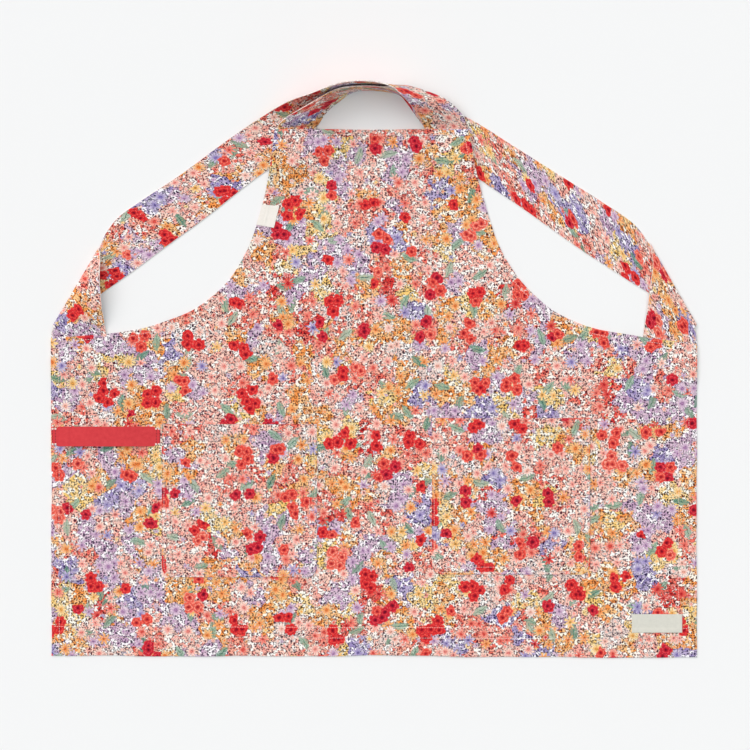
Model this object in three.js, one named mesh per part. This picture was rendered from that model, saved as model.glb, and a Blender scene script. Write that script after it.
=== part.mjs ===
// Cross-back smock apron, lying flat with its front face up.
// Millimetres, +Z up, +X across the body, +Y towards the neck.
// Origin: middle of the whole outline, on the surface that it lies on.
//
// Every piece is a cloth wall: a grid of points worked out from the sizes and
// tables below, given a thickness and closed round its border.
import * as THREE from 'three';

// ---------------------------------------------------------------- sizes
const BODY_WIDTH = 915;          // side hem to side hem
const HEM_Y_LEFT = -407.0;       // bottom hem at the left corner
const HEM_Y_RIGHT = -409.9;      // bottom hem at the right corner
const BIB_TOP_Y = 338.6;         // top edge of the bib
const BIB_LEFT_X = -140.3;
const BIB_RIGHT_X = 134.6;
const CLOTH = 1.2;               // one ply of canvas with its finish
const HEM_EXTRA = 0.7;           // the turned hem is thicker than the field
const BOTTOM_HEM = 41;           // depth of the turned hem along the bottom
const SIDE_HEM = 26;             // depth of the turned hems up the sides
const HEM_STEP = 2.5;            // run over which the hem steps down
const STRAP_THICK = 1.6;         // two plies, turned and pressed
const GAP = 0.35;                // air between neighbouring pieces
const CENTRE_X = 0.571;          // moves the middle of the whole outline
const CENTRE_Y = 4.074;          // to the origin

const POCKET = { thick: 1.2, gape: 5.4, corner: 15 };
const POCKET_LEFT = { x0: -300.4, x1: -80.8, yTop: -78.3, yBottom: -295.1 };
const POCKET_RIGHT = { x0: 82.2, x1: 306.1, yTop: -69.8, yBottom: -291.5 };

const LOOP = { x0: -456.4, x1: -302.6, y0: -109.9, y1: -81.8, endTaper: 7.0, taperRun: 9.5, thick: 1.0, rise: 5.9 };
const LABEL = { x0: 365.0, x1: 436.4, y0: -373.7, y1: -347.5, thick: 1.0 };
const TAG = { corners: [[-166.7, 203.8], [-141.7, 199.4], [-133.9, 230.6], [-158.3, 232.3]], thick: 1.0, rise: 1.6 };

// Armhole edges, from the strap seam up to the bib's corner: x, y
const ARMHOLE_COLUMNS = ['x', 'y'];
const ARMHOLE_LEFT = [
  [-376.9, 49.2], [-325.9, 57.7], [-290.5, 69.1], [-262.1, 80.4], [-242.3, 92.3], [-205.5, 125.8],
  [-177.9, 172.0], [-165.8, 205.1], [-156.4, 239.1], [-147.6, 281.6], [BIB_LEFT_X, BIB_TOP_Y],
];
const ARMHOLE_RIGHT = [
  [379.8, 45.0], [310.3, 57.7], [279.1, 69.1], [257.0, 80.4], [241.0, 92.0], [206.9, 125.8],
  [178.5, 171.1], [165.8, 205.1], [155.9, 239.1], [146.0, 273.1], [BIB_RIGHT_X, BIB_TOP_Y],
];
const SIDE_TOP_LEFT_Y = 43.6;    // outer end of the left strap seam
const SIDE_TOP_RIGHT_Y = 35.1;   // outer end of the right strap seam

// Where the body is lifted: over the strap ends sewn behind it, and in the
// soft waves along its free edges. Each row is a rounded ridge along a line.
const LIFT_COLUMNS = ['x1', 'y1', 'x2', 'y2', 'flat', 'fade', 'height'];
const LIFTS = [
  [-150, 312, -84, 335, 26, 62, 6.8],     // left bib corner, over both straps
  [-156, 292, -159, 284, 12, 34, 3.2],    // left bib edge, over the strap that leaves there
  [148, 312, 82, 335, 26, 62, 6.8],       // right bib corner, over both straps
  [156, 292, 160, 280, 12, 36, 3.2],      // right bib edge, over the strap that leaves there
  [-446, 30, -390, 34, 24, 64, 2.6],      // left strap seam
  [392, 31, 446, 24, 24, 64, 2.6],        // right strap seam
  [462, -190, 462, -300, 6, 40, 0.5],     // wave in the right side hem
  [-20, -418, 90, -418, 4, 46, 0.4],      // wave in the bottom hem
  [-250, -416, -180, -416, 2, 36, 0.3],   // smaller wave in the bottom hem
  [-466, -330, -466, -260, 4, 36, 0.4],   // wave in the left side hem
  [0, 180, 24, 40, 2, 44, 1.2],           // shallow crease down the bib
];

// Strap sections from the bib end to the side seam. t is the edge that stands
// up over the neck, o the edge that stays down; curl bends the section between
// them (1 straight, above 1 flat beside o, below 1 steep beside o), and crease
// is the share of the width from o at which it has reached the height of t.
const STRAP_COLUMNS = ['tx', 'ty', 'tz', 'ox', 'oy', 'oz', 'curl', 'crease'];
const STRAP_LEFT = [
  [79.4, 314.2, 3.6, 140.3, 314.2, 3.6, 1.0],      // sewn behind the right bib corner
  [70.6, 341.0, 4.8, 132.6, 342.4, 4.6, 1.0],
  [64.8, 353.3, 20.0, 125.0, 358.9, 12.0, 1.0],    // turns over as it climbs
  [47.5, 372.7, 46.0, 101.3, 378.7, 21.0, 1.0],
  [36.1, 382.1, 60.0, 76.0, 390.3, 16.0, 1.0],
  [24.2, 391.0, 66.0, 46.6, 399.8, 8.0, 1.0],
  [4.3, 397.3, 66.0, 17.0, 400.7, 1.5, 1.0],       // stands on edge over the neck
  [-19.4, 399.0, 65.5, -14.2, 398.5, 1.0, 1.0],
  [-42.9, 397.1, 65.0, -38.3, 393.6, 1.0, 1.0],
  [-65.2, 391.2, 61.0, -57.4, 382.2, 1.0, 1.0],
  [-90.5, 383.4, 48.0, -71.6, 366.6, 1.0, 1.3],
  [-120.6, 375.6, 28.0, -86.4, 336.9, 0.9, 2.6],   // lies down under the other strap
  [-157.9, 357.0, 8.0, -113.4, 307.1, 0.8, 4.0],
  [-210.8, 321.6, 3.0, -167.2, 269.6, 0.8, 2.0],
  [-274.9, 274.5, 1.4, -236.6, 215.0, 0.8, 1.0],
  [-331.6, 237.0, 1.0, -294.7, 172.5, 0.8, 1.0],
  [-362.8, 214.3, 0.8, -334.4, 142.8, 0.8, 1.0],
  [-375.5, 198.7, 0.8, -374.1, 114.4, 0.8, 1.0],   // runs under its own fold
  [-382.0, 188.2, 0.8, -410.9, 88.9, 0.8, 1.0],
  [-385.6, 177.0, 0.8, -446.6, 65.6, 0.8, 1.0],
  [-389.6, 170.0, 3.4, -454.2, 61.4, 2.5, 1.0],    // the fold
  [-387.2, 165.0, 9.6, -453.6, 57.0, 4.2, 1.2],
  [-385.8, 150.0, 18.4, -455.2, 53.6, 3.5, 1.5],   // the flap in front of it, its edge standing up
  [-386.0, 122.9, 21.8, -456.8, 50.7, 2.8, 1.6],
  [-383.4, 86.1, 14.4, -457.3, 47.8, 2.2, 1.5],
  [-379.8, 56.3, 2.4, -457.4, 45.4, 1.6, 1.0],
  [-378.3, 44.3, 0.9, -457.4, 39.3, 0.9, 1.0],     // sewn behind the left side
  [-376.9, 26.6, 0.9, -457.0, 16.6, 0.9, 1.0],
];
const STRAP_RIGHT = [
  [-143.1, 314.2, 3.4, -85.0, 314.2, 3.4, 1.0],    // sewn behind the left bib corner
  [-137.6, 341.2, 4.8, -81.4, 341.4, 3.6, 1.0],
  [-125.4, 352.8, 18.0, -77.9, 346.8, 2.2, 1.0, 0.17],   // bends over the other strap
  [-104.7, 363.1, 34.0, -70.1, 359.6, 1.2, 1.0, 0.30],
  [-88.1, 371.1, 46.0, -59.5, 370.9, 1.0, 1.0, 0.60],
  [-70.1, 381.3, 51.0, -48.9, 378.9, 1.0, 1.0, 0.92],
  [-48.7, 390.3, 52.0, -36.8, 388.3, 1.0, 1.0],    // stands on edge inside it
  [-25.0, 394.6, 44.0, -21.3, 394.0, 1.0, 1.0],
  [0.0, 395.1, 40.0, -0.7, 394.2, 1.0, 1.0],
  [22.3, 392.6, 38.0, 19.1, 392.4, 1.0, 1.0],
  [42.6, 385.7, 35.0, 36.4, 387.6, 1.0, 0.9],
  [65.2, 378.4, 26.0, 49.0, 373.4, 1.0, 0.6],      // ducks under the other strap
  [93.5, 370.2, 14.0, 59.5, 358.1, 1.0, 0.6],
  [119.0, 361.7, 6.0, 75.1, 336.9, 0.9, 1.2],
  [147.4, 347.5, 2.2, 102.0, 307.1, 0.8, 2.0],
  [185.6, 323.4, 1.4, 140.3, 274.5, 0.8, 1.0],
  [249.4, 283.0, 1.0, 206.9, 229.2, 0.8, 1.0],
  [320.2, 238.4, 0.8, 280.6, 176.8, 0.8, 1.0],
  [362.8, 209.9, 0.8, 334.4, 141.3, 0.8, 1.0],
  [375.4, 197.6, 0.8, 369.8, 118.7, 0.8, 1.0],     // runs under its own fold
  [383.2, 187.0, 0.8, 408.1, 96.0, 0.8, 1.0],
  [387.6, 180.0, 0.8, 447.1, 71.2, 0.8, 1.0],
  [390.4, 177.0, 2.5, 456.6, 61.6, 2.5, 1.0],      // the fold
  [391.8, 168.6, 4.3, 453.4, 57.0, 4.2, 1.0],
  [394.6, 151.3, 5.0, 454.9, 52.8, 3.4, 1.0],      // the flap in front of it
  [391.1, 120.1, 5.0, 456.3, 47.8, 2.8, 1.0],
  [386.8, 86.1, 4.0, 457.0, 42.2, 2.2, 1.0],
  [381.9, 56.3, 1.6, 457.2, 37.2, 1.6, 1.0],
  [380.5, 40.7, 0.9, 457.4, 30.1, 0.9, 1.0],       // sewn behind the right side
  [379.0, 23.7, 0.9, 457.0, 11.0, 0.9, 1.0],
];

// ---------------------------------------------------------------- helpers
const named = (columns, row) => Object.fromEntries(columns.map((c, k) => [c, row[k]]));
const lerp = (a, b, t) => a + (b - a) * t;
const smooth = (a, b, v) => { const t = Math.min(1, Math.max(0, (v - a) / (b - a))); return t * t * (3 - 2 * t); };

// Closes two facing grids of points, front[i][j] and back[i][j], into one body.
// The front faces the way that i crossed with j points.
function wall(front, back) {
  const ni = front.length, nj = front[0].length, pos = [], idx = [];
  for (const grid of [front, back]) for (const row of grid) for (const p of row) pos.push(p[0], p[1], p[2]);
  const f = (i, j) => i * nj + j, b = (i, j) => ni * nj + i * nj + j;
  const quad = (a, c, d, e) => idx.push(a, c, d, a, d, e);
  for (let i = 0; i < ni - 1; i++) for (let j = 0; j < nj - 1; j++) {
    quad(f(i, j), f(i + 1, j), f(i + 1, j + 1), f(i, j + 1));
    quad(b(i, j), b(i, j + 1), b(i + 1, j + 1), b(i + 1, j));
  }
  for (let i = 0; i < ni - 1; i++) {
    quad(f(i, 0), b(i, 0), b(i + 1, 0), f(i + 1, 0));
    quad(f(i, nj - 1), f(i + 1, nj - 1), b(i + 1, nj - 1), b(i, nj - 1));
  }
  for (let j = 0; j < nj - 1; j++) {
    quad(f(0, j), f(0, j + 1), b(0, j + 1), b(0, j));
    quad(f(ni - 1, j), b(ni - 1, j), b(ni - 1, j + 1), f(ni - 1, j + 1));
  }
  const g = new THREE.BufferGeometry();
  g.setAttribute('position', new THREE.Float32BufferAttribute(pos, 3));
  g.setIndex(idx);
  g.computeVertexNormals();
  return g;
}

// Points along an edge table, evenly by length.
function edge(rows, steps) {
  const curve = new THREE.CatmullRomCurve3(
    rows.map((r) => { const p = named(ARMHOLE_COLUMNS, r); return new THREE.Vector3(p.x, p.y, 0); }), false, 'centripetal');
  return curve.getSpacedPoints(steps).map((p) => [p.x, p.y]);
}

// ---------------------------------------------------------------- body panel
const lifts = LIFTS.map((r) => named(LIFT_COLUMNS, r));
function lift(x, y) {
  let z = 0;
  for (const l of lifts) {
    const dx = l.x2 - l.x1, dy = l.y2 - l.y1;
    const t = Math.min(1, Math.max(0, ((x - l.x1) * dx + (y - l.y1) * dy) / (dx * dx + dy * dy)));
    const d = Math.hypot(x - l.x1 - t * dx, y - l.y1 - t * dy);
    z = Math.max(z, l.height * (1 - smooth(l.flat, l.fade, d)));
  }
  return z;
}

function bodyPanel() {
  const half = BODY_WIDTH / 2, top = [], foot = [];
  const add = (pts, x0, x1) => pts.forEach((p, k) => { top.push(p); foot.push(lerp(x0, x1, k / (pts.length - 1))); });
  const seamL = (x) => lerp(SIDE_TOP_LEFT_Y, ARMHOLE_LEFT[0][1], (x + half) / (ARMHOLE_LEFT[0][0] + half));
  const seamR = (x) => lerp(SIDE_TOP_RIGHT_Y, ARMHOLE_RIGHT[0][1], (half - x) / (half - ARMHOLE_RIGHT[0][0]));
  const sideL = [-half, -half + SIDE_HEM, -half + SIDE_HEM + HEM_STEP, -405];
  const sideR = [405, half - SIDE_HEM - HEM_STEP, half - SIDE_HEM, half];
  for (const x of sideL) { top.push([x, seamL(x)]); foot.push(x); }
  const armL = edge(ARMHOLE_LEFT, 16), armR = edge(ARMHOLE_RIGHT, 16).reverse();
  add(armL, ARMHOLE_LEFT[0][0], BIB_LEFT_X);
  const bib = [];
  for (let k = 1; k < 10; k++) bib.push([lerp(BIB_LEFT_X, BIB_RIGHT_X, k / 10), BIB_TOP_Y]);
  bib.forEach((p) => { top.push(p); foot.push(p[0]); });
  add(armR, BIB_RIGHT_X, ARMHOLE_RIGHT[0][0]);
  for (const x of sideR) { top.push([x, seamR(x)]); foot.push(x); }

  const ROWS = 19, front = [], back = [];
  top.forEach((p, i) => {
    const x0 = foot[i], y0 = lerp(HEM_Y_LEFT, HEM_Y_RIGHT, (x0 + half) / BODY_WIDTH);
    const f = [], b = [];
    for (let j = 0; j <= ROWS; j++) {
      let y = j === 0 ? y0 : j === 1 ? y0 + BOTTOM_HEM : lerp(y0 + BOTTOM_HEM + HEM_STEP, p[1], (j - 2) / (ROWS - 2));
      const x = lerp(x0, p[0], (y - y0) / (p[1] - y0));
      const inHem = y < y0 + BOTTOM_HEM + 0.5 || Math.abs(x) > half - SIDE_HEM - 0.5;
      const z = lift(x, y);
      f.push([x, y, z + CLOTH + (inHem ? HEM_EXTRA : 0)]);
      b.push([x, y, z]);
    }
    front.push(f); back.push(b);
  });
  return wall(front, back);
}

// ---------------------------------------------------------------- straps
function strap(rows, steps = 2, across = 4) {
  const sec = rows.map((r) => named(STRAP_COLUMNS, r));
  const T = new THREE.CatmullRomCurve3(sec.map((s) => new THREE.Vector3(s.tx, s.ty, s.tz)), false, 'centripetal');
  const O = new THREE.CatmullRomCurve3(sec.map((s) => new THREE.Vector3(s.ox, s.oy, s.oz)), false, 'centripetal');
  const n = (sec.length - 1) * steps;
  const mid = [];
  for (let i = 0; i <= n; i++) {
    const t = i / n, k = Math.min(sec.length - 2, Math.floor(t * (sec.length - 1)));
    const w = t * (sec.length - 1) - k, curl = lerp(sec[k].curl, sec[k + 1].curl, w);
    const crease = lerp(sec[k].crease ?? 1, sec[k + 1].crease ?? 1, w);
    const a = O.getPoint(t), b = T.getPoint(t), line = [];
    for (let j = 0; j <= across; j++) {
      const s = j / across;
      line.push(new THREE.Vector3(lerp(a.x, b.x, s), lerp(a.y, b.y, s), Math.max(STRAP_THICK / 2, lerp(a.z, b.z, Math.pow(Math.min(1, s / crease), curl)))));
    }
    mid.push(line);
  }
  const front = [], back = [];
  for (let i = 0; i <= n; i++) {
    const f = [], b = [];
    for (let j = 0; j <= across; j++) {
      const u = mid[Math.min(n, i + 1)][j].clone().sub(mid[Math.max(0, i - 1)][j]);
      const v = mid[i][Math.min(across, j + 1)].clone().sub(mid[i][Math.max(0, j - 1)]);
      const m = u.cross(v).normalize().multiplyScalar(STRAP_THICK / 2), p = mid[i][j];
      f.push([p.x + m.x, p.y + m.y, Math.max(0, p.z + m.z)]);
      b.push([p.x - m.x, p.y - m.y, Math.max(0, p.z - m.z)]);
    }
    front.push(f); back.push(b);
  }
  return wall(front, back);
}

// ---------------------------------------------------------------- pockets, loop, labels
function pocket(p) {
  const w = p.x1 - p.x0, h = p.yTop - p.yBottom, cx = (p.x0 + p.x1) / 2, r = POCKET.corner;
  const rise = [0, 1.2, 4.5, 9, r, 34, 62, 96, 130, 164, 192].filter((y) => y < h).concat([h]);
  const COLS = 16, front = [], back = [];
  for (let i = 0; i <= COLS; i++) {
    const u = i / COLS, f = [], b = [];
    for (const y of rise) {
      const halfW = y < r ? w / 2 - r + Math.sqrt(r * r - (r - y) * (r - y)) : w / 2;
      const bow = POCKET.gape * Math.pow(Math.sin(Math.PI * u), 0.45) * smooth(-0.05, 0.6, y / h) * (y / h > 0 ? 1 : 0);
      const z = CLOTH + GAP + bow;
      f.push([cx + lerp(-halfW, halfW, u), p.yBottom + y, z + POCKET.thick]);
      b.push([cx + lerp(-halfW, halfW, u), p.yBottom + y, z]);
    }
    front.push(f); back.push(b);
  }
  return wall(front, back);
}

function towelLoop() {
  const STEPS = 20, ACROSS = 2, front = [], back = [], len = LOOP.x1 - LOOP.x0, cy = (LOOP.y0 + LOOP.y1) / 2;
  for (let i = 0; i <= STEPS; i++) {
    const u = i / STEPS, x = lerp(LOOP.x0, LOOP.x1, u), f = [], b = [];
    const halfW = (LOOP.y1 - LOOP.y0) / 2 - LOOP.endTaper * (1 - smooth(0, LOOP.taperRun, Math.min(u, 1 - u) * len)) / 2;
    const seat = CLOTH + GAP + HEM_EXTRA * (1 - smooth(30, 60, x - LOOP.x0));
    const z = seat + LOOP.rise * Math.pow(Math.sin(Math.PI * u), 0.55);
    for (let j = 0; j <= ACROSS; j++) {
      const y = lerp(cy - halfW, cy + halfW, j / ACROSS);
      f.push([x, y, z + LOOP.thick]); b.push([x, y, z]);
    }
    front.push(f); back.push(b);
  }
  return wall(front, back);
}

// A flat rectangle or quadrilateral of woven tape lying on the cloth; its back
// is at zLow along its lower edge and at zHigh along its upper edge.
function patch(corners, zLow, zHigh, thick, nx, ny) {
  const [a, b, c, d] = corners, front = [], back = [];
  for (let i = 0; i <= nx; i++) {
    const u = i / nx, f = [], k = [];
    for (let j = 0; j <= ny; j++) {
      const v = j / ny;
      const x = lerp(lerp(a[0], b[0], u), lerp(d[0], c[0], u), v), y = lerp(lerp(a[1], b[1], u), lerp(d[1], c[1], u), v);
      const z = lerp(zLow, zHigh, v);
      f.push([x, y, z + thick]); k.push([x, y, z]);
    }
    front.push(f); back.push(k);
  }
  return wall(front, back);
}

// ---------------------------------------------------------------- assembly
const canvas = new THREE.MeshStandardMaterial({ color: 0xd98f83, roughness: 0.88, metalness: 0 });
const tape = new THREE.MeshStandardMaterial({ color: 0xd14448, roughness: 0.8, metalness: 0 });
const whiteTape = new THREE.MeshStandardMaterial({ color: 0xf2f1ec, roughness: 0.8, metalness: 0 });
const creamTape = new THREE.MeshStandardMaterial({ color: 0xe2e0d4, roughness: 0.82, metalness: 0 });

const smock = new THREE.Group();
smock.position.set(CENTRE_X, CENTRE_Y, 0);
function place(name, geometry, material) {
  const mesh = new THREE.Mesh(geometry, material);
  mesh.name = name;
  smock.add(mesh);
}
place('body_panel', bodyPanel(), canvas);
place('strap_left', strap(STRAP_LEFT), canvas);
place('strap_right', strap(STRAP_RIGHT), canvas);
place('pocket_left', pocket(POCKET_LEFT), canvas);
place('pocket_right', pocket(POCKET_RIGHT), canvas);
place('towel_loop', towelLoop(), tape);
place('side_tag', patch(TAG.corners, CLOTH + GAP, CLOTH + GAP + TAG.rise, TAG.thick, 2, 3), whiteTape);
place('hem_label', patch(
  [[LABEL.x0, LABEL.y0], [LABEL.x1, LABEL.y0], [LABEL.x1, LABEL.y1], [LABEL.x0, LABEL.y1]],
  CLOTH + HEM_EXTRA + GAP, CLOTH + HEM_EXTRA + GAP, LABEL.thick, 6, 3), creamTape);

export default smock;
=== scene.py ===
import math
import bpy
import numpy as np
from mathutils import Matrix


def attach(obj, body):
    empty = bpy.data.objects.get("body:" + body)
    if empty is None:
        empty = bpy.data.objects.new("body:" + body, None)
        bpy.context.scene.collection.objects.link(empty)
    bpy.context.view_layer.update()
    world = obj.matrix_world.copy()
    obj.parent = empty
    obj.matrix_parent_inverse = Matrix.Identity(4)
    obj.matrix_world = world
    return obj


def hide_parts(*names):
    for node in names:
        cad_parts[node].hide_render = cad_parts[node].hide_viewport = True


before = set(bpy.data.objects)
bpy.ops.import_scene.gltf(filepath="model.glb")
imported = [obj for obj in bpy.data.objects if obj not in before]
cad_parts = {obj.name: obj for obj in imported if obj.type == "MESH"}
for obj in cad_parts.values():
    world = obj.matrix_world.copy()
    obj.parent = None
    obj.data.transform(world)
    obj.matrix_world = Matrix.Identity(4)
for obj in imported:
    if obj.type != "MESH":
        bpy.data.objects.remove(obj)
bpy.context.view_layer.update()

# ------------------------------------------------------------------ sizes
# Millimetres in the pattern's own frame; metres() moves them to the part's frame.
SHIFT = np.array([0.571, 4.074, 0.0])
BODY_WIDTH = 915.0
HALF = BODY_WIDTH / 2
HEM_Y_LEFT, HEM_Y_RIGHT = -407.0, -409.9
BIB_TOP_Y, BIB_LEFT_X, BIB_RIGHT_X = 338.6, -140.3, 134.6
CLOTH, HEM_EXTRA, EDGE_EXTRA = 1.2, 0.7, 0.5
BOTTOM_HEM, SIDE_HEM, EDGE_HEM = 41.0, 26.0, 10.5
STRAP_THICK = 1.6
SIDE_TOP_LEFT_Y, SIDE_TOP_RIGHT_Y = 43.6, 35.1
POCKET_THICK, POCKET_GAPE, POCKET_CORNER, POCKET_HEM = 1.2, 5.4, 15.0, 25.5
POCKET_LEFT = dict(x0=-300.4, x1=-80.8, y0=-295.1, y1=-78.3)
POCKET_RIGHT = dict(x0=82.2, x1=306.1, y0=-291.5, y1=-69.8)
LOOP = dict(x0=-456.4, x1=-302.6, y0=-109.9, y1=-81.8, taper=7.0, run=9.5, thick=1.0, rise=5.9)
LABEL = dict(x0=365.0, x1=436.4, y0=-373.7, y1=-347.5, thick=1.0)
TAG = [(-166.7, 203.8), (-141.7, 199.4), (-133.9, 230.6), (-158.3, 232.3)]

# armhole edges from the strap seam up to the bib's corner: x, y
ARMHOLE_LEFT = [
    (-376.9, 49.2), (-325.9, 57.7), (-290.5, 69.1), (-262.1, 80.4), (-242.3, 92.3), (-205.5, 125.8),
    (-177.9, 172.0), (-165.8, 205.1), (-156.4, 239.1), (-147.6, 281.6), (BIB_LEFT_X, BIB_TOP_Y)]
ARMHOLE_RIGHT = [
    (379.8, 45.0), (310.3, 57.7), (279.1, 69.1), (257.0, 80.4), (241.0, 92.0), (206.9, 125.8),
    (178.5, 171.1), (165.8, 205.1), (155.9, 239.1), (146.0, 273.1), (BIB_RIGHT_X, BIB_TOP_Y)]

# ridges that lift the body: x1, y1, x2, y2, flat, fade, height
LIFTS = [
    (-150, 312, -84, 335, 26, 62, 6.8), (-156, 292, -159, 284, 12, 34, 3.2),
    (148, 312, 82, 335, 26, 62, 6.8), (156, 292, 160, 280, 12, 36, 3.2),
    (-446, 30, -390, 34, 24, 64, 2.6), (392, 31, 446, 24, 24, 64, 2.6),
    (462, -190, 462, -300, 6, 40, 0.5), (-20, -418, 90, -418, 4, 46, 0.4),
    (-250, -416, -180, -416, 2, 36, 0.3), (-466, -330, -466, -260, 4, 36, 0.4),
    (0, 180, 24, 40, 2, 44, 1.2)]

# strap sections, bib end to side seam: t edge x, y, z, o edge x, y, z, curl, crease
STRAP_LEFT = [
    (79.4, 314.2, 3.6, 140.3, 314.2, 3.6, 1.0), (70.6, 341.0, 4.8, 132.6, 342.4, 4.6, 1.0),
    (64.8, 353.3, 20.0, 125.0, 358.9, 12.0, 1.0), (47.5, 372.7, 46.0, 101.3, 378.7, 21.0, 1.0),
    (36.1, 382.1, 60.0, 76.0, 390.3, 16.0, 1.0), (24.2, 391.0, 66.0, 46.6, 399.8, 8.0, 1.0),
    (4.3, 397.3, 66.0, 17.0, 400.7, 1.5, 1.0), (-19.4, 399.0, 65.5, -14.2, 398.5, 1.0, 1.0),
    (-42.9, 397.1, 65.0, -38.3, 393.6, 1.0, 1.0), (-65.2, 391.2, 61.0, -57.4, 382.2, 1.0, 1.0),
    (-90.5, 383.4, 48.0, -71.6, 366.6, 1.0, 1.3), (-120.6, 375.6, 28.0, -86.4, 336.9, 0.9, 2.6),
    (-157.9, 357.0, 8.0, -113.4, 307.1, 0.8, 4.0), (-210.8, 321.6, 3.0, -167.2, 269.6, 0.8, 2.0),
    (-274.9, 274.5, 1.4, -236.6, 215.0, 0.8, 1.0), (-331.6, 237.0, 1.0, -294.7, 172.5, 0.8, 1.0),
    (-362.8, 214.3, 0.8, -334.4, 142.8, 0.8, 1.0), (-375.5, 198.7, 0.8, -374.1, 114.4, 0.8, 1.0),
    (-382.0, 188.2, 0.8, -410.9, 88.9, 0.8, 1.0), (-385.6, 177.0, 0.8, -446.6, 65.6, 0.8, 1.0),
    (-389.6, 170.0, 3.4, -454.2, 61.4, 2.5, 1.0), (-387.2, 165.0, 9.6, -453.6, 57.0, 4.2, 1.2),
    (-385.8, 150.0, 18.4, -455.2, 53.6, 3.5, 1.5), (-386.0, 122.9, 21.8, -456.8, 50.7, 2.8, 1.6),
    (-383.4, 86.1, 14.4, -457.3, 47.8, 2.2, 1.5), (-379.8, 56.3, 2.4, -457.4, 45.4, 1.6, 1.0),
    (-378.3, 44.3, 0.9, -457.4, 39.3, 0.9, 1.0), (-376.9, 26.6, 0.9, -457.0, 16.6, 0.9, 1.0)]
STRAP_RIGHT = [
    (-143.1, 314.2, 3.4, -85.0, 314.2, 3.4, 1.0), (-137.6, 341.2, 4.8, -81.4, 341.4, 3.6, 1.0),
    (-125.4, 352.8, 18.0, -77.9, 346.8, 2.2, 1.0, 0.17), (-104.7, 363.1, 34.0, -70.1, 359.6, 1.2, 1.0, 0.30),
    (-88.1, 371.1, 46.0, -59.5, 370.9, 1.0, 1.0, 0.60), (-70.1, 381.3, 51.0, -48.9, 378.9, 1.0, 1.0, 0.92),
    (-48.7, 390.3, 52.0, -36.8, 388.3, 1.0, 1.0), (-25.0, 394.6, 44.0, -21.3, 394.0, 1.0, 1.0),
    (0.0, 395.1, 40.0, -0.7, 394.2, 1.0, 1.0), (22.3, 392.6, 38.0, 19.1, 392.4, 1.0, 1.0),
    (42.6, 385.7, 35.0, 36.4, 387.6, 1.0, 0.9), (65.2, 378.4, 26.0, 49.0, 373.4, 1.0, 0.6),
    (93.5, 370.2, 14.0, 59.5, 358.1, 1.0, 0.6), (119.0, 361.7, 6.0, 75.1, 336.9, 0.9, 1.2),
    (147.4, 347.5, 2.2, 102.0, 307.1, 0.8, 2.0), (185.6, 323.4, 1.4, 140.3, 274.5, 0.8, 1.0),
    (249.4, 283.0, 1.0, 206.9, 229.2, 0.8, 1.0), (320.2, 238.4, 0.8, 280.6, 176.8, 0.8, 1.0),
    (362.8, 209.9, 0.8, 334.4, 141.3, 0.8, 1.0), (375.4, 197.6, 0.8, 369.8, 118.7, 0.8, 1.0),
    (383.2, 187.0, 0.8, 408.1, 96.0, 0.8, 1.0), (387.6, 180.0, 0.8, 447.1, 71.2, 0.8, 1.0),
    (390.4, 177.0, 2.5, 456.6, 61.6, 2.5, 1.0), (391.8, 168.6, 4.3, 453.4, 57.0, 4.2, 1.0),
    (394.6, 151.3, 5.0, 454.9, 52.8, 3.4, 1.0), (391.1, 120.1, 5.0, 456.3, 47.8, 2.8, 1.0),
    (386.8, 86.1, 4.0, 457.0, 42.2, 2.2, 1.0), (381.9, 56.3, 1.6, 457.2, 37.2, 1.6, 1.0),
    (380.5, 40.7, 0.9, 457.4, 30.1, 0.9, 1.0), (379.0, 23.7, 0.9, 457.0, 11.0, 0.9, 1.0)]


# ------------------------------------------------------------------ helpers
def metres(p):
    return (np.asarray(p, float) + SHIFT) / 1000.0


def smooth(a, b, v):
    t = np.clip((np.asarray(v, float) - a) / (b - a), 0.0, 1.0)
    return t * t * (3.0 - 2.0 * t)


def spline(points, t):
    """Centripetal Catmull-Rom through points, at parameters t in 0..1."""
    pts = np.asarray(points, float)
    n = len(pts)
    ext = np.vstack([2 * pts[0] - pts[1], pts, 2 * pts[-1] - pts[-2]])
    x = np.clip(np.asarray(t, float), 0, 1) * (n - 1)
    k = np.minimum(x.astype(int), n - 2)
    w = (x - k)[:, None]
    p0, p1, p2, p3 = ext[k], ext[k + 1], ext[k + 2], ext[k + 3]

    def gap(a, b):
        return np.maximum(np.sqrt(np.linalg.norm(a - b, axis=1)), 1e-4)[:, None]
    d0, d1, d2 = gap(p0, p1), gap(p1, p2), gap(p2, p3)
    t1 = ((p1 - p0) / d0 - (p2 - p0) / (d0 + d1) + (p2 - p1) / d1) * d1
    t2 = ((p2 - p1) / d1 - (p3 - p1) / (d1 + d2) + (p3 - p2) / d2) * d1
    return p1 + t1 * w + (-3 * p1 + 3 * p2 - 2 * t1 - t2) * w ** 2 + (2 * p1 - 2 * p2 + t1 + t2) * w ** 3


def even(points, count):
    """Points along a polyline, evenly by length."""
    pts = np.asarray(points, float)
    s = np.concatenate([[0], np.cumsum(np.linalg.norm(np.diff(pts, axis=0), axis=1))])
    x = np.linspace(0, s[-1], count)
    return np.stack([np.interp(x, s, pts[:, c]) for c in range(pts.shape[1])], axis=1)


def fill(knots, step):
    """The knots, with even steps no longer than step between them."""
    out = [knots[0]]
    for a, b in zip(knots[:-1], knots[1:]):
        n = max(1, int(math.ceil((b - a) / step - 1e-6)))
        out += [a + (b - a) * (i + 1) / n for i in range(n)]
    return np.array(out)


def to_segments(x, y, line):
    """Distance from points to a polyline."""
    line = np.asarray(line, float)
    best = np.full(np.shape(x), 1e9)
    for a, b in zip(line[:-1], line[1:]):
        d = b - a
        t = np.clip(((x - a[0]) * d[0] + (y - a[1]) * d[1]) / max(d @ d, 1e-9), 0, 1)
        best = np.minimum(best, np.hypot(x - a[0] - t * d[0], y - a[1] - t * d[1]))
    return best


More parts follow.
